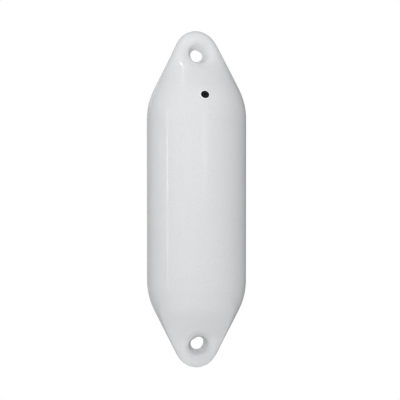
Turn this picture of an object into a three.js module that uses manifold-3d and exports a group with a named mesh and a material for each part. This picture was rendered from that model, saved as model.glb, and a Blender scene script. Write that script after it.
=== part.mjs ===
// Inflatable boat fender with an eye at each end. It is a hollow moulded PVC body, round in
// the middle and pinched to a thick lug at each end, and a rubber needle valve that plugs
// into a seat in its wall. Millimetres, Z up. The body hangs by its upper eye, whose centre
// is the origin. The eyes' bores run along Y, and the valve is on the front, towards -Y.
import * as THREE from 'three';
import { mergeVertices } from 'three/addons/utils/BufferGeometryUtils.js';
import Module from 'manifold-3d';

// Body as seen along the eyes' bores
const bodyDiameter = 150;
const overallLength = 508;
const coneHalfAngle = 26.6; // degrees from the long axis
const shoulderRadius = 99;
const tipRadius = 33;

// Body as seen from the side, where each end is pinched to a lug
const lugThickness = 46;
const lugLength = 44; // tip to where the slope leaves the lug
const neckRadius = 30;
const sideShoulderRadius = 85;
const sideShoulderInset = 106; // tip to where the slope would meet the full diameter
const squareness = 1.5; // how boxy a cross-section gets as it is pinched

// Eyes
const eyeDiameter = 18.4; // at the throat, halfway through the lug
const eyeInset = 36.5; // tip to the eye's centre
const mouthDiameter = 28.4; // where the bore's taper ends and its rounding starts
const mouthHeight = 0.78; // the same place, as a share of the lug's half thickness there
const crestDiameter = 47; // where the rounding is out on the lug's face
const crestHeight = 1.03;

// Air chamber
const wall = 2.5;
const solidEnd = 58; // tip to the chamber
const chamberRounding = 28; // length over which the chamber's end closes

// Valve
const valveInset = 103.5; // tip to the valve's centre, along the body's axis
const flangeDiameter = 11.6;
const flangeThickness = 1.6;
const stemDiameter = 7.6;
const barbDiameter = 9.4;
const barbLength = 3.4;
const beadDiameter = 5.8; // ring round the needle's way in, at its crest
const beadRadius = 0.55;
const leadInDiameter = 3.4;
const leadInDepth = 1.6;
const needleDiameter = 1.4;
const needleDepth = 9;

// Seat moulded in the body for the valve
const seatGap = 0.3;
const seatProud = 0.6; // the seat's rim over the skin
const rimWidth = 1.5;
const bossDiameter = 19;
const bossDepth = 12; // skin to the boss's inner end

// Fineness of the facets
const facetsAround = 56;
const facetsRoundChamber = 36;
const facetsArc = 4;
const facetsMouth = 7;
const facetsLathe = 36;
const levelSpacing = 2.6; // the least between two rings of a loft

const wasm = await Module();
wasm.setup();

const halfLength = overallLength / 2;
const bodyRadius = bodyDiameter / 2;
const eyeHeight = halfLength - eyeInset;
const eyeRadius = eyeDiameter / 2;

// OUTLINES: half the body's width against height, from its top tip to its bottom tip

// Straight runs from stop to stop, with an arc at each inner stop that has a radius
function roundedRuns(stops) {
  const path = new THREE.Path().moveTo(stops[0].at.x, stops[0].at.y);
  for (let i = 1; i < stops.length - 1; i++) {
    const { at, radius } = stops[i];
    const back = stops[i - 1].at.clone().sub(at);
    const on = stops[i + 1].at.clone().sub(at);
    const halfCorner = back.angleTo(on) / 2;
    const run = Math.min(radius / Math.tan(halfCorner), back.length(), on.length());
    const from = back.setLength(run).add(at);
    const to = on.setLength(run).add(at);
    const middle = from.clone().add(to).multiplyScalar(0.5).sub(at);
    const centre = middle.setLength(run / Math.cos(halfCorner)).add(at);
    const spoke = from.clone().sub(centre);
    const lastSpoke = to.clone().sub(centre);
    const clockwise = spoke.cross(lastSpoke) < 0;
    path.lineTo(from.x, from.y);
    path.absarc(centre.x, centre.y, spoke.length(), spoke.angle(), lastSpoke.angle(), clockwise);
  }
  const end = stops[stops.length - 1].at;
  return path.lineTo(end.x, end.y);
}

// The same corners at both ends, given as half width and distance from the tip
function endToEnd(corners) {
  const stop = (width, height, radius) => ({ at: new THREE.Vector2(width, height), radius });
  const upper = corners.map(([width, inset, radius]) => stop(width, halfLength - inset, radius));
  const lower = corners.map(([width, inset, radius]) => stop(width, inset - halfLength, radius));
  return roundedRuns([stop(0, halfLength), ...upper, ...lower.reverse(), stop(0, -halfLength)]);
}

function frontOutline() {
  const slant = THREE.MathUtils.degToRad(coneHalfAngle);
  const tipCorner = tipRadius * Math.tan(Math.PI / 4 - slant / 2);
  const coneInset = (bodyRadius - tipCorner) / Math.tan(slant);
  return endToEnd([[tipCorner, 0, tipRadius], [bodyRadius, coneInset, shoulderRadius]]);
}

function sideOutline() {
  const halfLug = lugThickness / 2;
  return endToEnd([
    [halfLug, 0, halfLug],
    [halfLug, lugLength, neckRadius],
    [bodyRadius, sideShoulderInset, sideShoulderRadius],
  ]);
}

// Half width at any height, read off an outline
function widthReader(outline) {
  const points = outline.getPoints(60);
  return (height) => {
    const i = Math.max(1, points.findIndex((p) => p.y <= height));
    const above = points[i - 1];
    const below = points[i];
    const part = (above.y - height) / Math.max(above.y - below.y, 1e-9);
    return THREE.MathUtils.lerp(above.x, below.x, THREE.MathUtils.clamp(part, 0, 1));
  };
}

const front = frontOutline();
const side = sideOutline();
const halfWidth = widthReader(front);
const halfDepth = widthReader(side);

// CROSS-SECTIONS: superellipses, round where width and depth are equal

function exponentAt(height) {
  const pinch = 1 - halfDepth(height) / Math.max(halfWidth(height), 1e-6);
  return 2 + squareness * Math.max(pinch, 0);
}

// The body's own half depth at a point of the front view
function skinDepth(x, height) {
  const power = exponentAt(height);
  const across = Math.min(Math.abs(x) / halfWidth(height), 1);
  return halfDepth(height) * (1 - across ** power) ** (1 / power);
}

// A lathe's rings, reshaped to the superellipse of each height
function loft(heights, widthAt, depthAt, facets) {
  const ends = [heights[0], heights[heights.length - 1]];
  const profile = heights.map((h) => new THREE.Vector2(ends.includes(h) ? 0 : 1, h));
  const geometry = new THREE.LatheGeometry(profile.reverse(), facets);
  geometry.rotateX(Math.PI / 2);
  const position = geometry.attributes.position;
  for (let i = 0; i < position.count; i++) {
    const height = position.getZ(i);
    const bend = 2 / exponentAt(height);
    const reach = (v) => Math.sign(v) * Math.abs(v) ** bend;
    position.setX(i, widthAt(height) * reach(position.getX(i)));
    position.setY(i, depthAt(height) * reach(position.getY(i)));
  }
  return geometry;
}

// Heights where either outline bends, top to bottom, none too close to the one before
function bendHeights() {
  const all = [...front.getPoints(facetsArc), ...side.getPoints(facetsArc)].map((p) => p.y);
  all.sort((a, b) => b - a);
  const kept = [halfLength];
  for (const height of all) {
    const clear = kept[kept.length - 1] - height > levelSpacing;
    if (clear && height > levelSpacing - halfLength) kept.push(height);
  }
  return [...kept, -halfLength];
}

// SOLIDS

function solid(geometry) {
  const bare = geometry.clone().deleteAttribute('normal').deleteAttribute('uv');
  const merged = mergeVertices(bare, 1e-4);
  return new wasm.Manifold(new wasm.Mesh({
    numProp: 3,
    vertProperties: new Float32Array(merged.attributes.position.array),
    triVerts: new Uint32Array(merged.index.array),
  }));
}

// A turned solid about Z, from [radius, height] pairs that start and end on the axis
function turned(pairs) {
  const profile = pairs.map(([radius, height]) => new THREE.Vector2(radius, height));
  return new THREE.LatheGeometry(profile, facetsLathe).rotateX(Math.PI / 2);
}

function outerBody() {
  return solid(loft(bendHeights(), halfWidth, halfDepth, facetsAround));
}

// The chamber keeps the wall's thickness square to the skin and closes in a round end
function chamber() {
  const end = halfLength - solidEnd;
  const inside = (reader) => (height) => {
    const slope = reader(height - 0.5) - reader(height + 0.5);
    const skin = reader(height) - wall * Math.hypot(1, slope);
    const open = Math.min((end - Math.abs(height)) / chamberRounding, 1);
    return skin * Math.sqrt(1 - (1 - open) ** 2);
  };
  const closing = [0, 0.04, 0.14, 0.3, 0.5, 0.75].map((part) => end - part * chamberRounding);
  const lowest = closing[closing.length - 1] - levelSpacing;
  const middle = bendHeights().filter((height) => Math.abs(height) < lowest);
  const heights = [...closing, ...middle, ...closing.map((height) => -height).reverse()];
  return solid(loft(heights, inside(halfWidth), inside(halfDepth), facetsRoundChamber));
}

// What an eye takes away: a bore along Y, tapered from each mouth to the throat between them.
// Its heights are shares of the body's own depth at each point, so that the mouths follow the
// slope of the lug
function eyeCutter(height) {
  const mouthRadius = mouthDiameter / 2;
  const crestRadius = crestDiameter / 2;
  const cornerRadius = eyeRadius + (mouthRadius - eyeRadius) * (crestHeight / mouthHeight);
  const half = new THREE.Path()
    .moveTo(eyeRadius, 0)
    .lineTo(mouthRadius, mouthHeight)
    .quadraticCurveTo(cornerRadius, crestHeight, crestRadius, crestHeight)
    .getPoints(facetsMouth)
    .map((p) => [p.x, p.y]);
  const back = half.slice(1).reverse().map(([radius, share]) => [radius, -share]);
  const beyond = 1.4;
  const profile = [
    [0, -beyond],
    [crestRadius, -beyond],
    ...back,
    ...half,
    [crestRadius, beyond],
    [0, beyond],
  ];
  const geometry = turned(profile).rotateX(Math.PI / 2).translate(0, 0, height);
  const position = geometry.attributes.position;
  for (let i = 0; i < position.count; i++) {
    const depth = skinDepth(position.getX(i), position.getZ(i));
    position.setY(i, position.getY(i) * depth);
  }
  return solid(geometry);
}

// Sets a geometry made about Z on the skin at the valve's place, its +Z square to the skin
function onValveAxis(geometry) {
  const height = halfLength - valveInset;
  const slope = halfDepth(height - 0.5) - halfDepth(height + 0.5);
  return geometry
    .rotateX(Math.PI / 2 - Math.atan(slope))
    .translate(0, -halfDepth(height), height);
}

const flangeRadius = flangeDiameter / 2;
const stemRadius = stemDiameter / 2;
const seatRadius = flangeRadius + seatGap;
const flangeTop = seatProud / 2;
const flangeFloor = flangeTop - flangeThickness;

// The rim round the flange and the boss behind the wall
function seatBody() {
  const rimRadius = seatRadius + rimWidth;
  const bossRadius = bossDiameter / 2;
  return solid(onValveAxis(turned([
    [0, -bossDepth],
    [bossRadius - 1, -bossDepth],
    [bossRadius, -bossDepth + 1],
    [bossRadius, -wall * 0.7],
    [rimRadius, -wall * 0.7],
    [rimRadius, seatProud - 0.4],
    [rimRadius - 0.4, seatProud],
    [0, seatProud],
  ])));
}

function seatHole() {
  const holeRadius = stemRadius + seatGap;
  const over = seatProud + 2;
  return solid(onValveAxis(turned([
    [0, -bossDepth - 2],
    [holeRadius, -bossDepth - 2],
    [holeRadius, flangeFloor - seatGap],
    [seatRadius, flangeFloor - seatGap],
    [seatRadius, over],
    [0, over],
  ])));
}

function fenderBody() {
  return outerBody()
    .subtract(eyeCutter(eyeHeight))
    .subtract(eyeCutter(-eyeHeight))
    .subtract(chamber())
    .add(seatBody())
    .subtract(seatHole());
}

function needleValve() {
  const barbRadius = barbDiameter / 2;
  const barbTop = -bossDepth - seatGap;
  const beadAt = beadDiameter / 2;
  const bead = new THREE.Path()
    .absarc(beadAt, flangeTop, beadRadius, 0, Math.PI, false)
    .getPoints(4)
    .map((p) => [p.x, p.y]);
  return solid(onValveAxis(turned([
    [0, barbTop - barbLength],
    [stemRadius * 0.7, barbTop - barbLength],
    [barbRadius, barbTop - 0.8],
    [barbRadius, barbTop],
    [stemRadius, barbTop],
    [stemRadius, flangeFloor],
    [flangeRadius, flangeFloor],
    [flangeRadius, flangeTop - 0.3],
    [flangeRadius - 0.3, flangeTop],
    ...bead,
    [leadInDiameter / 2, flangeTop],
    [needleDiameter / 2, flangeTop - leadInDepth],
    [needleDiameter / 2, flangeTop - needleDepth],
    [0, flangeTop - needleDepth],
  ])));
}

// NODES

function node(name, shape, material) {
  const { vertProperties, triVerts } = shape.getMesh();
  const geometry = new THREE.BufferGeometry();
  geometry.setAttribute('position', new THREE.BufferAttribute(vertProperties, 3));
  geometry.setIndex(new THREE.BufferAttribute(triVerts, 1));
  geometry.translate(0, 0, -eyeHeight);
  geometry.computeVertexNormals();
  const mesh = new THREE.Mesh(geometry, material);
  mesh.name = name;
  return mesh;
}

const glossyPvc = new THREE.MeshStandardMaterial({ color: 0xe9eaea, roughness: 0.24, metalness: 0 });
const blackRubber = new THREE.MeshStandardMaterial({ color: 0x17171a, roughness: 0.6, metalness: 0 });

const fender = new THREE.Group();
fender.name = 'boat_fender';
fender.add(node('fender_body', fenderBody(), glossyPvc));
fender.add(node('needle_valve', needleValve(), blackRubber));

export default fender;
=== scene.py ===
import math

import bmesh
import bpy
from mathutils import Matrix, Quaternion, Vector, noise


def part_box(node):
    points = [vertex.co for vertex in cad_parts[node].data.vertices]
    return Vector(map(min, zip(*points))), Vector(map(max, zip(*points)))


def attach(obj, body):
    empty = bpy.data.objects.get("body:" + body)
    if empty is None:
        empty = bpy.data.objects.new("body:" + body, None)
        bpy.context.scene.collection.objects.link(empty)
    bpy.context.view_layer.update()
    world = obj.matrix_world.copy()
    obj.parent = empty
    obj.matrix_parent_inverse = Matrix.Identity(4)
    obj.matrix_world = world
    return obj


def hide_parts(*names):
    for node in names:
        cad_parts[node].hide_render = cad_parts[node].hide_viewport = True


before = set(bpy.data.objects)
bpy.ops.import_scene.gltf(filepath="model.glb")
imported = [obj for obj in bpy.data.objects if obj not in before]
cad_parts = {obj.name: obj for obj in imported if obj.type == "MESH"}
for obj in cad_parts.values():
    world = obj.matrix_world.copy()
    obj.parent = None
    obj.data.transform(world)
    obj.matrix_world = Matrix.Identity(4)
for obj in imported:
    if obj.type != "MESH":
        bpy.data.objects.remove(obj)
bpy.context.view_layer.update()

# Dresses an inflatable boat fender: one white PVC body with an eye at each end, and a
# black rubber needle valve. Sizes in the dictionaries are millimetres, angles are degrees.

mm = 0.001
bodyLow, bodyHigh = (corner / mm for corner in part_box("fender_body"))
topTip, bottomTip = bodyHigh.z, bodyLow.z
middleHeight = (topTip + bottomTip) / 2
halfLength = (topTip - bottomTip) / 2
bodyRadius = (bodyHigh.x - bodyLow.x) / 2


# Camera

cameraSetup = {
    "azimuth": -10.3,
    "elevation": 0.8,
    "distance": 1080,
    "focalPixels": 711.7,  # focal length over the width of one pixel
    "frameWidth": 400,
    "sensorWidth": 36,
    "axisPixel": (196.45, 199.75),  # where the middle of the fender's axis falls in the frame
}


def towards(azimuth, elevation):
    # a direction from the fender: azimuth round it from the front, and elevation, in degrees
    azimuth, elevation = math.radians(azimuth), math.radians(elevation)
    return Vector((math.sin(azimuth) * math.cos(elevation),
                   -math.cos(azimuth) * math.cos(elevation),
                   math.sin(elevation)))


def makeCamera(setup):
    data = bpy.data.cameras.new("camera")
    data.sensor_width = setup["sensorWidth"]
    data.lens = setup["focalPixels"] / setup["frameWidth"] * data.sensor_width
    half = setup["frameWidth"] / 2
    data.shift_x = (half - setup["axisPixel"][0]) / setup["frameWidth"]
    data.shift_y = (setup["axisPixel"][1] - half) / setup["frameWidth"]
    camera = bpy.data.objects.new("camera", data)
    bpy.context.scene.collection.objects.link(camera)
    back = towards(setup["azimuth"], setup["elevation"])
    camera.location = Vector((0, 0, middleHeight * mm)) + back * setup["distance"] * mm
    camera.rotation_euler = back.to_track_quat("Z", "Y").to_euler()
    bpy.context.scene.camera = camera


makeCamera(cameraSetup)
print("camera placed")


# Body: a lofted skin, with the eyes and the valve's seat worked into its own mesh

body = {
    "coneAngle": 26.6,
    "shoulderRadius": 99,
    "tipRadius": 33,
    "tipThickness": 40,
    "lugThickness": 52,  # where the lug meets the cone
    "lugLength": 44,
    "neckRadius": 50,
    "sideShoulderRadius": 85,
    "sideShoulderInset": 106,
    "squareness": 1.5,  # what a flat section would add to its superellipse's power of 2
    "softening": 4,  # how far the corners of the outlines are blurred
    "softeningGrowth": 0.3,  # how fast that grows with the inset, from none at the tip
    "columnsPerQuarter": 40,
    "partingColumns": (88.9, 89.4, 89.75),  # more columns beside the parting line, in degrees
    "rowStep": 2.2,
    "leastRowStep": 0.35,
    "middleRowStep": 6,
    "middleInset": 145,  # where the rows of the straight middle start
}

eye = {
    "diameter": 18.4,
    "inset": 36.5,
    "mouthDiameter": 31,
    "mouthHeight": 0.75,  # a share of the lug's half thickness, as are all heights here
    "crestDiameter": 58,
    "bendDiameter": 41,  # where the crest's and the mouth's own slopes would meet
    "windowInsets": (6, 68),  # the part of the skin, from the tip, that the eye's mesh replaces
    "windowColumn": 52,  # how far round from the front it reaches, in degrees
    "boreRings": 9,
    "lipRings": 16,
    "throatRounding": 0.1,
    "throatHeights": (0.055, 0.03, 0.015),  # the last rings before the throat
    # how each hole was left off its round when it was trimmed: the angle up from the right,
    # how far out or in, and how wide the place is, in degrees
    "topTrim": ((65, -1.4, 28), (125, 0.5, 25)),
    "bottomTrim": ((30, 1.5, 28), (118, -2.1, 28), (-40, 0.6, 90)),
    "outerRings": 5,
}

seat = {
    "inset": 103.5,
    "windowReach": 14,
    "windowRows": 0.95,  # how much less it reaches up and down
    "apronShares": (0.3, 0.6, 0.85, 1),  # the rings from its border in to the rim's foot
    "footMargin": 0.5,
    "rimOuter": 7.6,
    "rimInner": 6,
    "proud": 0.25,
    "recess": 1.6,
    "holeRadius": 4.1,
    "depth": 11,
    "floorRing": 0.6,  # the last ring, round the middle of the hole's floor
}

moulding = {
    "lean": 1.8,  # the upper tip sits this far off the axis
    "leanReach": 55,
    "waviness": 0.05,
    "waveLength": 95,
    "waveStretch": 0.7,  # below 1 the waves are longer along the fender than round it
    "waveGrip": 40,  # nearer the axis than this the waves fade out
    "partingHeight": 0.12,
    "partingWidth": 0.45,
    "partingReach": 15,  # nearer the axis than this the line is left out
    "flashHeight": 0.25,
    "flashWidth": 0.5,
    "flashCoverage": 0.4,  # above 0 more than half of the round has some
    "flashRaggedness": 2.5,
}


def filletedRuns(corners):
    # straight runs through (inset, width) corners with an arc at each, as exact pieces
    stops = [(Vector((0, 0)), 0)]
    stops += [(Vector((inset, width)), radius) for inset, width, radius in corners]
    stops += [(Vector((halfLength, bodyRadius)), 0)]
    pieces, here = [], stops[0][0]
    for before, (at, radius), after in zip(stops, stops[1:], stops[2:]):
        back, on = before[0] - at, after[0] - at
        halfCorner = back.angle(on) / 2
        run = min(radius / math.tan(halfCorner), back.length, on.length)
        start, end = at + back.normalized() * run, at + on.normalized() * run
        bisector = (back.normalized() + on.normalized()).normalized()
        centre = at + bisector * run / math.cos(halfCorner)
        side = 1 if centre.y < at.y else -1
        pieces.append(("line", here, start, None, None))
        pieces.append(("arc", start, end, centre, ((start - centre).length, side)))
        here = end
    pieces.append(("line", here, stops[-1][0], None, None))
    return [piece for piece in pieces if piece[2].x - piece[1].x > 1e-6]


def sharpWidth(pieces, inset):
    inset = min(max(inset, 0), halfLength)
    for kind, start, end, centre, arc in pieces:
        if inset <= end.x + 1e-9:
            if kind == "line":
                return start.y + (end.y - start.y) * (inset - start.x) / (end.x - start.x)
            radius, side = arc
            return centre.y + side * math.sqrt(max(radius ** 2 - (inset - centre.x) ** 2, 0))
    return pieces[-1][2].y


# the blur's steps and weights, in standard deviations
softTaps = [(step / 2, math.exp(-(step / 2) ** 2 / 2)) for step in range(-5, 6)]
softSum = sum(weight for _, weight in softTaps)


def softWidth(pieces, inset):
    # a Gaussian blur along the outline, as a mould's worn corners are; none at the tip
    spread = min(body["softening"], body["softeningGrowth"] * inset)
    return sum(weight * sharpWidth(pieces, inset + spread * step)
               for step, weight in softTaps) / softSum


slant = math.radians(body["coneAngle"])
tipCorner = body["tipRadius"] * math.tan(math.pi / 4 - slant / 2)
frontRuns = filletedRuns([
    (0, tipCorner, body["tipRadius"]),
    ((bodyRadius - tipCorner) / math.tan(slant), bodyRadius, body["shoulderRadius"]),
])
halfTip, halfLug = body["tipThickness"] / 2, body["lugThickness"] / 2
sideRuns = filletedRuns([
    (0, halfTip, halfTip),
    (body["lugLength"], halfLug, body["neckRadius"]),
    (body["sideShoulderInset"], bodyRadius, body["sideShoulderRadius"]),
])


def section(inset):
    # half width, half depth and superellipse power of the body at an inset from its tip
    width, depth = softWidth(frontRuns, inset), softWidth(sideRuns, inset)
    pinch = max(1 - depth / max(width, 1e-6), 0)
    return width, depth, 2 + body["squareness"] * pinch


def skinDepth(x, inset):
    width, depth, power = section(inset)
    across = min(abs(x) / width, 1)
    return depth * (1 - across ** power) ** (1 / power)


def ringPoint(column, inset):
    # a point of the skin at an angle round from the front, as (x, y)
    width, depth, power = section(inset)
    sine, cosine = math.sin(column), math.cos(column)
    reach = (abs(sine) ** power + abs(cosine) ** power) ** (-1 / power)
    return width * reach * sine, -depth * reach * cosine


def settled(point):
    # what moulding and handling leave: a lean at the upper tip, slow waves, a parting line
    x, y, z = point
    inset = topTip - z
    lean = max(1 - inset / moulding["leanReach"], 0) ** 2
    out = Vector((x, y, 0))
    far = out.length
    swell = 0
    if far > 1e-6:
        out /= far
        grip = min(far / moulding["waveGrip"], 1)
        wave = noise.noise(Vector((x, y, z * moulding["waveStretch"])) / moulding["waveLength"])
        ridge = 0
        if abs(x) > moulding["partingReach"]:
            ridge = math.exp(-(y / moulding["partingWidth"]) ** 2)
        swell = grip * moulding["waviness"] * wave + moulding["partingHeight"] * ridge
    return Vector((x - moulding["lean"] * lean + out.x * swell, y + out.y * swell, z))


def rowInsets():
    # rows at even steps along the front outline, wider where the body is straight
    rows, inset, ahead = [], 0, 0.5
    while inset < halfLength - body["middleRowStep"] / 2:
        width = sharpWidth(frontRuns, inset)
        rise = (sharpWidth(frontRuns, inset + ahead) - width) / ahead
        step = body["middleRowStep"] if inset > body["middleInset"] else body["rowStep"]
        inset += max(step / math.hypot(1, rise), body["leastRowStep"])
        rows.append(inset)
    rows[-1] = halfLength
    return rows


def columnAngles():
    # even columns, with a few more beside the parting line at each side
    count = body["columnsPerQuarter"]
    quarter = [math.pi / 2 * i / count for i in range(count)]
    quarter += [math.radians(angle) for angle in body["partingColumns"]]
    mirrored = [math.pi - angle for angle in reversed(quarter[1:])]
    half = quarter + [math.pi / 2] + mirrored
    return half + [math.pi + angle for angle in half]


class Skin:
    # collects vertices in millimetres and faces, then makes the object in metres
    def __init__(self):
        self.points, self.faces = [], []

    def add(self, point):
        self.points.append(settled(point))
        return len(self.points) - 1

    def band(self, outer, inner):
        count = len(outer)
        for i in range(count):
            k = (i + 1) % count
            self.faces.append((outer[i], outer[k], inner[k], inner[i]))

    def make(self, name):
        mesh = bpy.data.meshes.new(name)
        mesh.from_pydata([tuple(point * mm) for point in self.points], [], self.faces)
        work = bmesh.new()
        work.from_mesh(mesh)
        bmesh.ops.recalc_face_normals(work, faces=work.faces)
        for face in work.faces:
            face.smooth = True
        work.to_mesh(mesh)
        work.free()
        piece = bpy.data.objects.new(name, mesh)
        bpy.context.scene.collection.objects.link(piece)
        return piece


def windowLoop(grid, rows, columns):
    # the border of a window in the grid, once round, as grid vertices
    top, bottom = rows
    across = list(range(columns[0], columns[1] + 1))
    loop = [grid[top][j % len(grid[top])] for j in across]
    loop += [grid[i][columns[1] % len(grid[i])] for i in range(top + 1, bottom)]
    loop += [grid[bottom][j % len(grid[bottom])] for j in reversed(across)]
    loop += [grid[i][columns[0] % len(grid[i])] for i in range(bottom - 1, top, -1)]
    return loop


def mouthProfile():
    # the bore from its lip's crest in to its throat, as (radius, share of the skin's depth)
    throat, mouth, bend, crest = (eye[key] / 2 for key in (
        "diameter", "mouthDiameter", "bendDiameter", "crestDiameter"))
    start = Vector((mouth, eye["mouthHeight"]))
    corner, end = Vector((bend, 1)), Vector((crest, 1))
    places = []
    for ring in range(1, eye["lipRings"] + 1):
        share = ring / eye["lipRings"]
        places.append(end.lerp(corner, share).lerp(corner.lerp(start, share), share))
    for ring in range(1, eye["boreRings"] + 1):
        places.append(start.lerp(Vector((throat, 0)), ring / (eye["boreRings"] + 1)))
    places += [Vector((throat, height)) for height in eye["throatHeights"]]
    # the two tapers meet at the throat in a small round
    blend = eye["throatRounding"]
    for place in places:
        if place.y < blend:
            taper = (mouth - throat) / eye["mouthHeight"]
            place.x = throat + taper * (place.y ** 2 + blend ** 2) / (2 * blend)
    return places


def fillEye(skin, loop, flat, front, atTop, throat=None):
    # from the window's border in to the crest of the mouth, then down the mouth to the throat
    tip, sense = (topTip, -1) if atTop else (bottomTip, 1)
    side = -1 if front else 1
    centre = Vector((0, tip + sense * eye["inset"]))
    radius = eye["diameter"] / 2
    crest = eye["crestDiameter"] / 2
    rays = [(flat[v] - centre).normalized() for v in loop]
    previous = loop

    def insetOf(place):
        return (place.y - tip) * sense

    for ring in range(1, eye["outerRings"] + 1):
        share = ring / eye["outerRings"]
        current = []
        for v, ray in zip(loop, rays):
            place = flat[v].lerp(centre + ray * crest, share)
            depth = skinDepth(place.x, insetOf(place))
            current.append(skin.add((place.x, side * depth, place.y)))
        skin.band(previous, current)
        previous = current

    def flashAt(ray, depth):
        # the thin, broken film that the mould leaves round the throat
        here = Vector((ray.x, ray.y, tip)) * moulding["flashRaggedness"]
        ragged = max(moulding["flashCoverage"] + noise.noise(here), 0)
        return moulding["flashHeight"] * ragged * math.exp(-(depth / moulding["flashWidth"]) ** 2)

    def trimAt(ray, share):
        # fades out up the mouth
        angle = math.degrees(math.atan2(ray.y, ray.x))
        off = 0
        for middle, size, width in eye["topTrim"] if atTop else eye["bottomTrim"]:
            apart = (angle - middle + 180) % 360 - 180
            off += size * math.exp(-(apart / width) ** 2 / 2)
        return off * max(1 - share / eye["mouthHeight"], 0)

    for reach, share in mouthProfile():
        current = []
        for ray in rays:
            place = centre + ray * reach
            depth = skinDepth(place.x, insetOf(place)) * share
            place = centre + ray * (reach + trimAt(ray, share) - flashAt(ray, depth))
            current.append(skin.add((place.x, side * depth, place.y)))
        skin.band(previous, current)
        previous = current
    if throat is None:
        throat = []
        for ray in rays:
            place = centre + ray * (radius + trimAt(ray, 0) - flashAt(ray, 0))
            throat.append(skin.add((place.x, 0, place.y)))
    skin.band(previous, throat)
    return throat


def seatAxes():
    # the valve's place on the skin, up along the skin, and straight out of it, from the
    # slope over one millimetre there
    depth = softWidth(sideRuns, seat["inset"])
    slope = softWidth(sideRuns, seat["inset"] + 0.5) - softWidth(sideRuns, seat["inset"] - 0.5)
    up = Vector((0, slope, 1)).normalized()
    out = Vector((0, -1, slope)).normalized()
    return Vector((0, -depth, topTip - seat["inset"])), up, out


def fillSeat(skin, loop, flat):
    # from the window's border in to the raised rim, over it and down the valve's hole
    place, up, out = seatAxes()
    centre = Vector((0, place.z))
    rays = [(flat[v] - centre).normalized() for v in loop]
    foot = seat["rimOuter"] + seat["footMargin"]
    previous = loop
    for share in seat["apronShares"]:
        current = []
        for v, ray in zip(loop, rays):
            flatFoot = centre + Vector((ray.x, ray.y * up.z)) * foot
            at = flat[v].lerp(flatFoot, share)
            current.append(skin.add((at.x, -skinDepth(at.x, topTip - at.y), at.y)))
        skin.band(previous, current)
        previous = current
    # each ring's radius and height: up over the rim's round outer edge, across its top, down
    # its sharper inner edge, and across the recess to the hole
    proud, outer, inner = seat["proud"], seat["rimOuter"], seat["rimInner"]
    profile = [
        (outer + 0.12, 0.02), (outer - 0.15, 0.62 * proud),
        (outer - 0.45, 0.95 * proud), (outer - 0.8, proud),
        (inner + 0.15, proud), (inner + 0.04, 0.93 * proud), (inner, 0.7 * proud),
        (inner, -seat["recess"]), (seat["holeRadius"], -seat["recess"]),
        (seat["holeRadius"], -seat["depth"]), (seat["floorRing"], -seat["depth"]),
    ]
    for radius, height in profile:
        current = [skin.add(place + Vector((ray.x * radius, 0, 0)) + up * ray.y * radius
                            + out * height) for ray in rays]
        skin.band(previous, current)
        previous = current
    skin.faces.append(tuple(previous))


def makeBody():
    skin = Skin()
    rows, columns = rowInsets(), columnAngles()
    flat = {}  # each grid vertex in the front view, before settling
    grid = []
    heights = [(topTip - inset, inset) for inset in rows]
    heights += [(bottomTip + inset, inset) for inset in reversed(rows[:-1])]
    for height, inset in heights:
        ring = []
        for angle in columns:
            x, y = ringPoint(angle, inset)
            v = skin.add((x, y, height))
            flat[v] = Vector((x, height))
            ring.append(v)
        grid.append(ring)

    def nearestRow(inset):
        return min(range(len(rows)), key=lambda i: abs(rows[i] - inset))

    columnCount = len(columns)
    halfTurn = columnCount // 2
    first, last = (nearestRow(inset) for inset in eye["windowInsets"])
    widest = math.radians(eye["windowColumn"])
    eyeColumns = sum(angle <= widest for angle in columns[:halfTurn // 2])
    windows = []
    for top, bottom, atTop in ((first, last, True),
                               (len(grid) - 1 - last, len(grid) - 1 - first, False)):
        frontColumns = (-eyeColumns, eyeColumns)
        backColumns = (halfTurn - eyeColumns, halfTurn + eyeColumns)
        windows += [(top, bottom, *frontColumns), (top, bottom, *backColumns)]
        frontLoop = windowLoop(grid, (top, bottom), frontColumns)
        throat = fillEye(skin, frontLoop, flat, True, atTop)
        across = {v: i for i, v in enumerate(frontLoop)}
        backLoop = [None] * len(frontLoop)
        for i in range(top, bottom + 1):
            for j in range(-eyeColumns, eyeColumns + 1):
                v = grid[i][j % columnCount]
                if v in across:
                    backLoop[across[v]] = grid[i][(halfTurn - j) % columnCount]
        fillEye(skin, backLoop, flat, False, atTop, throat)

    reach = seat["windowReach"]
    seatTop = nearestRow(seat["inset"] - reach * seat["windowRows"])
    seatBottom = nearestRow(seat["inset"] + reach * seat["windowRows"])
    seatColumns = round(math.asin(reach / bodyRadius) / (columns[1] - columns[0]))
    windows.append((seatTop, seatBottom, -seatColumns, seatColumns))
    fillSeat(skin, windowLoop(grid, (seatTop, seatBottom), (-seatColumns, seatColumns)), flat)

    openCells = {(i, j % columnCount) for top, bottom, left, right in windows
                 for i in range(top, bottom) for j in range(left, right)}
    for i in range(len(grid) - 1):
        for j in range(columnCount):
            if (i, j) not in openCells:
                k = (j + 1) % columnCount
                skin.faces.append((grid[i][j], grid[i][k], grid[i + 1][k], grid[i + 1][j]))
    for ring, tip in ((grid[0], topTip), (grid[-1], bottomTip)):
        pole = skin.add((0, 0, tip))
        for j in range(columnCount):
            skin.faces.append((ring[j], ring[(j + 1) % columnCount], pole))
    return skin.make("fender_skin")


fenderSkin = makeBody()
print("body made:", len(fenderSkin.data.polygons), "faces")


# Valve: one rubber plug, turned about its own axis

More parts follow.
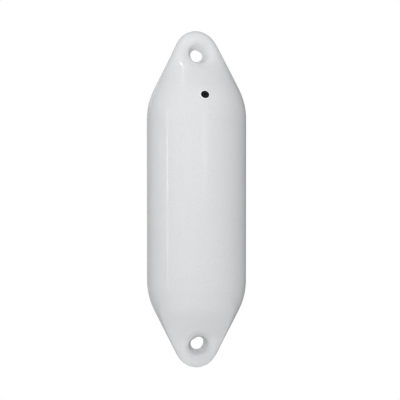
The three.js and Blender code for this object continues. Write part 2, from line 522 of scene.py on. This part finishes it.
valve = {
    "flangeRadius": 5.85,
    "flangeTop": 0.25,
    "flangeThickness": 1.6,
    "flangeEdge": 0.3,
    "stemRadius": 3.8,
    "barbRadius": 4.7,
    "barbTop": -12.3,
    "barbLength": 3.4,
    "barbLand": 0.8,
    "barbTipShare": 0.7,  # the barb's end, as a share of the stem's radius
    "beadRadius": 2.9,
    "beadSize": 0.6,
    "coveStep": 0.12,  # how fast the coves at its foot run out
    "leadInRadius": 1.7,
    "leadInDepth": 1.6,
    "needleRadius": 0.6,
    "needleDepth": 9,
    "columns": 72,
}


def valveProfile():
    top, flange = valve["flangeTop"], valve["flangeRadius"]
    floor = top - valve["flangeThickness"]
    profile = [
        (valve["stemRadius"] * valve["barbTipShare"], valve["barbTop"] - valve["barbLength"]),
        (valve["barbRadius"], valve["barbTop"] - valve["barbLand"]),
        (valve["barbRadius"], valve["barbTop"]),
        (valve["stemRadius"], valve["barbTop"]), (valve["stemRadius"], floor), (flange, floor),
    ]
    edge, bead, cove = valve["flangeEdge"], valve["beadSize"], valve["coveStep"]
    for step in range(7):  # the flange's rounded edge
        turn = math.pi / 2 * step / 6
        profile.append((flange - edge + edge * math.cos(turn), top - edge + edge * math.sin(turn)))
    for step in range(-3, 12):  # the bead, run in and out of the flange by small coves
        turn, lift = math.pi * step / 8, 0
        if step < 0:
            spread = bead + cove * -step
        elif step > 8:
            spread = -bead - cove * (step - 8)
        else:
            spread, lift = bead * math.cos(turn), bead * math.sin(turn)
        profile.append((valve["beadRadius"] + spread, top + lift))
    narrowing = valve["leadInRadius"] - valve["needleRadius"]
    for step in range(6):  # the lead-in, a round-lipped funnel
        turn = math.pi / 2 * step / 5
        profile.append((valve["leadInRadius"] - narrowing * math.sin(turn),
                        top - valve["leadInDepth"] * (1 - math.cos(turn))))
    profile.append((valve["needleRadius"], top - valve["needleDepth"]))
    return profile


def makeValve():
    skin = Skin()
    place, up, out = seatAxes()
    rings = []
    for radius, height in valveProfile():
        ring = []
        for j in range(valve["columns"]):
            turn = 2 * math.pi * j / valve["columns"]
            ring.append(skin.add(place + Vector((radius * math.cos(turn), 0, 0))
                                 + up * radius * math.sin(turn) + out * height))
        rings.append(ring)
    for outer, inner in zip(rings, rings[1:]):
        skin.band(outer, inner)
    skin.faces.append(tuple(rings[0]))
    skin.faces.append(tuple(rings[-1]))
    return skin.make("rubber_needle_valve")


rubberValve = makeValve()
print("valve made:", len(rubberValve.data.polygons), "faces")


# Materials

def linear(hexColour):
    channels = [int(hexColour[i:i + 2], 16) / 255 for i in (1, 3, 5)]
    return (*(c / 12.92 if c <= 0.04045 else ((c + 0.055) / 1.055) ** 2.4 for c in channels), 1)


def addNode(tree, kind, inputs=None, links=None, **settings):
    node = tree.nodes.new(kind)
    for key, value in settings.items():
        setattr(node, key, value)
    for key, value in (inputs or {}).items():
        node.inputs[key].default_value = value
    for key, source in (links or {}).items():
        tree.links.new(source, node.inputs[key])
    return node


def newMaterial(name):
    material = bpy.data.materials.new(name)
    material.use_nodes = True
    material.node_tree.nodes.clear()
    return material, material.node_tree


def perMetre(size):
    return 1 / (size * mm)  # texture scale that gives features of this many millimetres


noiseLow, noiseHigh = 0.3, 0.7  # nearly all of a noise's factors lie between these

pvc = {
    "colour": "#F5F6F7",
    "shade": "#F1F2F3",
    "roughness": 0.07,
    "roughnessSpread": 0.01,
    "ior": 1.53,
    "subsurface": 1.0,
    "wallDepth": 1,  # how far light passes into the thin wall
    "lugDepth": 25,  # and into the solid lugs, which start this far from each tip
    "solidEnd": 58,
    "solidFade": 22,  # the length over which one depth turns into the other
    "mottleSize": 45,
    "orangePeelSize": 2.4,
    "orangePeelHeight": 0.002,
    "grainSize": 0.9,
    "grainHeight": 0.002,
    "speckleSize": 1.6,
    "speckle": 0.03,  # how far the finest mottling goes from one white to the other
    # the rim round the valve is painted near pure white and glows a little: a painted highlight
    "rimHighlightColour": "#FDFDFE",
    "rimPaintedGlow": 0.12,  # a glow painted on the rim, though no lamp is there
    "paintedBoreShade": 0.1,  # how much darker the lower eye's bore is painted, as painted shade
    "boreShadeDrop": 8,  # how far under the hole's middle the painted shade is deepest
    "boreShadeReach": (12, 26),  # where it starts to fade out and where it ends
}


def glossyMouldedPvc(name, rim=False):
    # Rotation-moulded plasticised PVC: a soft white with a wet-looking but slightly uneven
    # gloss, the fine orange peel of the mould's skin and a little light passing into it. The
    # lower eye's bore is darkened as painted shade; the valve's rim is painted whiter and glowing,
    # a painted highlight
    material, tree = newMaterial(name)
    place = addNode(tree, "ShaderNodeTexCoord").outputs["Object"]
    mottle = addNode(tree, "ShaderNodeTexNoise",
                     {"Scale": perMetre(pvc["mottleSize"]), "Detail": 3.0}, {"Vector": place})
    # the rim takes a near-pure white all over, a painted highlight ring round the valve
    dark, light = (pvc["rimHighlightColour"],) * 2 if rim else (pvc["shade"], pvc["colour"])
    tint = addNode(tree, "ShaderNodeMix", {6: linear(dark), 7: linear(light)},
                   {0: mottle.outputs["Fac"]}, data_type="RGBA")
    speckle = addNode(tree, "ShaderNodeTexNoise",
                      {"Scale": perMetre(pvc["speckleSize"]), "Detail": 1.0}, {"Vector": place})
    # fine grains in the pigment, which make it lighter or darker by this factor
    grains = addNode(tree, "ShaderNodeMapRange",
                     {"From Min": noiseLow, "From Max": noiseHigh,
                      "To Min": 1 - pvc["speckle"], "To Max": 1 + pvc["speckle"]},
                     {"Value": speckle.outputs["Fac"]}, clamp=False)
    # painted shade round a line along the lower bore, a little under the hole's middle
    flatPlace = addNode(tree, "ShaderNodeVectorMath", {1: (1, 0, 1)}, {0: place},
                        operation="MULTIPLY")
    boreShadeLine = Vector((0, 0, bottomTip + eye["inset"] - pvc["boreShadeDrop"])) * mm
    fromLine = addNode(tree, "ShaderNodeVectorMath", {1: boreShadeLine}, {0: flatPlace.outputs[0]},
                       operation="DISTANCE")
    near, far = pvc["boreShadeReach"]
    boreShade = addNode(tree, "ShaderNodeMapRange",
                    {"From Min": near * mm, "From Max": far * mm,
                     "To Min": 1 - pvc["paintedBoreShade"], "To Max": 1.0},
                    {"Value": fromLine.outputs["Value"]}, interpolation_type="SMOOTHSTEP")
    # the pigment's grains times the painted shade of the lower bore
    lightness = addNode(tree, "ShaderNodeMath", operation="MULTIPLY",
                        links={0: grains.outputs["Result"], 1: boreShade.outputs["Result"]})
    pigment = addNode(tree, "ShaderNodeVectorMath", operation="SCALE",
                      links={0: tint.outputs[2], "Scale": lightness.outputs[0]})
    gloss = addNode(tree, "ShaderNodeMapRange",
                    {"From Min": noiseLow, "From Max": noiseHigh,
                     "To Min": pvc["roughness"] - pvc["roughnessSpread"],
                     "To Max": pvc["roughness"] + pvc["roughnessSpread"]},
                    {"Value": mottle.outputs["Fac"]})
    peel = addNode(tree, "ShaderNodeTexNoise",
                   {"Scale": perMetre(pvc["orangePeelSize"]), "Detail": 1.5}, {"Vector": place})
    grain = addNode(tree, "ShaderNodeTexNoise",
                    {"Scale": perMetre(pvc["grainSize"]), "Detail": 2.0}, {"Vector": place})
    peelBump = addNode(tree, "ShaderNodeBump",
                       {"Strength": 1.0, "Distance": pvc["orangePeelHeight"] * mm},
                       {"Height": peel.outputs["Fac"]})
    grainBump = addNode(tree, "ShaderNodeBump",
                        {"Strength": 1.0, "Distance": pvc["grainHeight"] * mm},
                        {"Height": grain.outputs["Fac"], "Normal": peelBump.outputs["Normal"]})
    height = addNode(tree, "ShaderNodeSeparateXYZ", links={"Vector": place}).outputs["Z"]
    offCentre = addNode(tree, "ShaderNodeMath", {1: -middleHeight * mm}, {0: height},
                        operation="ADD")
    fromMiddle = addNode(tree, "ShaderNodeMath", links={0: offCentre.outputs[0]},
                         operation="ABSOLUTE")
    depth = addNode(tree, "ShaderNodeMapRange",
                    {"From Min": (halfLength - pvc["solidEnd"] - pvc["solidFade"]) * mm,
                     "From Max": (halfLength - pvc["solidEnd"]) * mm,
                     "To Min": pvc["wallDepth"] * mm, "To Max": pvc["lugDepth"] * mm},
                    {"Value": fromMiddle.outputs[0]})
    # on the rim the emission is a painted glow, with no lamp there; elsewhere it is off
    shader = addNode(tree, "ShaderNodeBsdfPrincipled",
                     {"IOR": pvc["ior"], "Subsurface Weight": pvc["subsurface"],
                      "Subsurface Radius": (1.0, 1.0, 1.0),
                      "Emission Color": linear(pvc["rimHighlightColour"]),
                      "Emission Strength": pvc["rimPaintedGlow"] if rim else 0.0},
                     {"Base Color": pigment.outputs[0], "Roughness": gloss.outputs["Result"],
                      "Subsurface Scale": depth.outputs["Result"],
                      "Normal": grainBump.outputs["Normal"]})
    addNode(tree, "ShaderNodeOutputMaterial", links={"Surface": shader.outputs["BSDF"]})
    return material


rubber = {
    "colour": "#050506",
    "dust": "#0D0D0E",
    "bead": "#363637",  # a lighter grey painted on the bead as its sheen: a painted highlight
    "roughness": 0.55,
    "specular": 0.1,
    "dustSize": 1.2,
    "textureSize": 0.35,
    "textureHeight": 0.01,
}


def blackMouldedRubber():
    # Moulded rubber: deep black with a breath of dust, and its bead painted a lighter grey as a
    # painted sheen
    material, tree = newMaterial("moulded_black_rubber")
    place = addNode(tree, "ShaderNodeTexCoord").outputs["Object"]
    dust = addNode(tree, "ShaderNodeTexNoise",
                   {"Scale": perMetre(rubber["dustSize"]), "Detail": 4.0}, {"Vector": place})
    tint = addNode(tree, "ShaderNodeMix", {6: linear(rubber["colour"]), 7: linear(rubber["dust"])},
                   {0: dust.outputs["Fac"]}, data_type="RGBA")
    texture = addNode(tree, "ShaderNodeTexNoise",
                      {"Scale": perMetre(rubber["textureSize"]), "Detail": 2.0}, {"Vector": place})
    bump = addNode(tree, "ShaderNodeBump",
                   {"Strength": 1.0, "Distance": rubber["textureHeight"] * mm},
                   {"Height": texture.outputs["Fac"]})
    centre, _, out = seatAxes()
    fromHole = addNode(tree, "ShaderNodeVectorMath", {1: (centre + out * valve["flangeTop"]) * mm},
                       {0: place}, operation="DISTANCE")
    # the bead is painted lighter grey, a painted sheen
    onBead = addNode(tree, "ShaderNodeMath",
                     {1: valve["beadRadius"] * mm, 2: valve["beadSize"] * mm},
                     {0: fromHole.outputs["Value"]}, operation="COMPARE")
    beadPaintedSheen = addNode(tree, "ShaderNodeMix", {7: linear(rubber["bead"])},
                   {0: onBead.outputs[0], 6: tint.outputs[2]}, data_type="RGBA")
    shader = addNode(tree, "ShaderNodeBsdfPrincipled",
                     {"Roughness": rubber["roughness"], "Specular IOR Level": rubber["specular"]},
                     {"Base Color": beadPaintedSheen.outputs[2], "Normal": bump.outputs["Normal"]})
    addNode(tree, "ShaderNodeOutputMaterial", links={"Surface": shader.outputs["BSDF"]})
    return material


fenderSkin.data.materials.append(glossyMouldedPvc("rotation_moulded_glossy_pvc"))
# the second material paints the valve's rim whiter and glowing, a painted highlight
fenderSkin.data.materials.append(glossyMouldedPvc("pvc_rim_painted_highlight", rim=True))
seatCentre = seatAxes()[0]
for face in fenderSkin.data.polygons:
    if seat["rimInner"] < (face.center / mm - seatCentre).length < seat["rimOuter"]:
        face.material_index = 1
rubberValve.data.materials.append(blackMouldedRubber())
for piece, node in ((fenderSkin, "fender_body"), (rubberValve, "needle_valve")):
    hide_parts(node)
    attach(piece, "root")
print("materials made")


# Studio: the fender hangs above a pale floor, out of the picture, in soft light

studio = {
    "hang": 450,  # the lower tip's height over the floor
    "floorRadius": 900,
    "floorColour": "#E4E4E4",
    "floorRoughness": 0.8,
    "floorLift": 0.3,  # brings the lit floor near the white of the background
    "wallRadius": 2600,
    "wallColour": "#808080",
    "wallRoughness": 0.9,
    "ambient": 0.445,
    "lampColour": "#FEFEFF",
}

# each lamp: azimuth round the fender from the front, elevation, distance, width, height, watts,
# whether it lights the surfaces, shows in their gloss, or both, and for some a roll in degrees
lamps = {
    "front_panel": (-18, 0, 2000, 2200, 2200, 11.4, "light"),
    "high_front_box": (-20, 20, 800, 600, 600, 0.84, "light"),
    "high_left_box": (-60, 25, 900, 600, 600, 0.37, "light"),
    "low_right_box": (35, -25, 1100, 600, 600, 0.35, "light"),
    "overhead_panel": (-15, 62, 1800, 1600, 1600, 4, "light"),
    "back_panel": (180, 10, 2000, 2000, 2000, 8, "light"),
    "back_left_card": (-158, 0, 1800, 500, 1900, 0.6, "both"),
    "white_backdrop": (180, 0, 1800, 1100, 2400, 2.1, "gloss"),
    "backdrop_high": (185, 32, 1800, 2200, 1100, 1.7, "gloss"),
    "broad_softbox": (-33, 12.5, 1500, 2900, 665, 1, "gloss"),
    "softbox_edge": (6.5, 14, 1500, 260, 700, 0.4, "gloss", 12),
    "left_strip": (-77.7, -2.2, 1500, 45, 1080, 0.66, "gloss", 3),
    "ceiling_strip": (-66, 70, 1500, 30, 330, 0.16, "gloss"),
    "ceiling_tube": (10, 86, 1500, 600, 60, 0.1, "gloss"),
}


def seenDirectly(tree):
    # 1 for what the camera sees, also in gloss or through something clear, and otherwise 0
    path = addNode(tree, "ShaderNodeLightPath")
    seen = addNode(tree, "ShaderNodeMath", operation="ADD", use_clamp=True,
                   links={0: path.outputs["Is Camera Ray"], 1: path.outputs["Is Glossy Ray"]})
    shown = addNode(tree, "ShaderNodeMath", operation="ADD", use_clamp=True,
                    links={0: seen.outputs[0], 1: path.outputs["Is Transmission Ray"]})
    return shown.outputs[0]


def stagePiece(name, work, height):
    mesh = bpy.data.meshes.new(name)
    work.to_mesh(mesh)
    work.free()
    piece = bpy.data.objects.new(name, mesh)
    piece.location = (0, 0, height * mm)
    bpy.context.scene.collection.objects.link(piece)
    return piece


def makeFloor():
    work = bmesh.new()
    bmesh.ops.create_circle(work, cap_ends=True, segments=96, radius=studio["floorRadius"] * mm)
    floor = stagePiece("floor", work, bottomTip - studio["hang"])
    material, tree = newMaterial("matt_white_painted_floor")  # a flat, even, pale ground
    lift = addNode(tree, "ShaderNodeMath", {1: studio["floorLift"]}, {0: seenDirectly(tree)},
                   operation="MULTIPLY")
    shader = addNode(tree, "ShaderNodeBsdfPrincipled",
                     {"Base Color": linear(studio["floorColour"]),
                      "Roughness": studio["floorRoughness"], "Emission Color": (1, 1, 1, 1)},
                     {"Emission Strength": lift.outputs[0]})
    addNode(tree, "ShaderNodeOutputMaterial", links={"Surface": shader.outputs["BSDF"]})
    floor.data.materials.append(material)


def makeWalls():
    # grey studio walls far round the fender, which only its gloss sees
    work = bmesh.new()
    bmesh.ops.create_uvsphere(work, u_segments=48, v_segments=24,
                              radius=studio["wallRadius"] * mm)
    walls = stagePiece("walls", work, middleHeight)
    material, tree = newMaterial("grey_painted_wall")
    shader = addNode(tree, "ShaderNodeBsdfPrincipled",
                     {"Base Color": linear(studio["wallColour"]),
                      "Roughness": studio["wallRoughness"]})
    addNode(tree, "ShaderNodeOutputMaterial", links={"Surface": shader.outputs["BSDF"]})
    walls.data.materials.append(material)
    walls.visible_camera = walls.visible_diffuse = walls.visible_shadow = False


def makeLamp(name, azimuth, elevation, distance, width, height, watts, sort, roll=0):
    data = bpy.data.lights.new(name, "AREA")
    data.shape = "RECTANGLE"
    data.size, data.size_y, data.energy = width * mm, height * mm, watts
    data.color = linear(studio["lampColour"])[:3]
    lamp = bpy.data.objects.new(name, data)
    bpy.context.scene.collection.objects.link(lamp)
    away = towards(azimuth, elevation)
    lamp.location = Vector((0, 0, middleHeight * mm)) + away * distance * mm
    turned = away.to_track_quat("Z", "Y") @ Quaternion((0, 0, 1), math.radians(roll))
    lamp.rotation_euler = turned.to_euler()
    lamp.visible_camera = False
    lamp.visible_glossy = sort != "light"
    lamp.visible_diffuse = sort != "gloss"


def makeWorld():
    world = bpy.data.worlds.new("studio")
    bpy.context.scene.world = world
    world.use_nodes = True
    tree = world.node_tree
    tree.nodes.clear()
    around = addNode(tree, "ShaderNodeBackground",
                     {"Color": linear(studio["lampColour"]), "Strength": studio["ambient"]})
    backdrop = addNode(tree, "ShaderNodeBackground", {"Color": (1, 1, 1, 1), "Strength": 1.0})
    mixed = addNode(tree, "ShaderNodeMixShader",
                    links={0: seenDirectly(tree), 1: around.outputs[0], 2: backdrop.outputs[0]})
    addNode(tree, "ShaderNodeOutputWorld", links={"Surface": mixed.outputs[0]})


makeFloor()
makeWalls()
for name, settings in lamps.items():
    makeLamp(name, *settings)
makeWorld()
bpy.context.scene.view_settings.view_transform = "Standard"
print("studio lit")

bpy.context.view_layer.update()
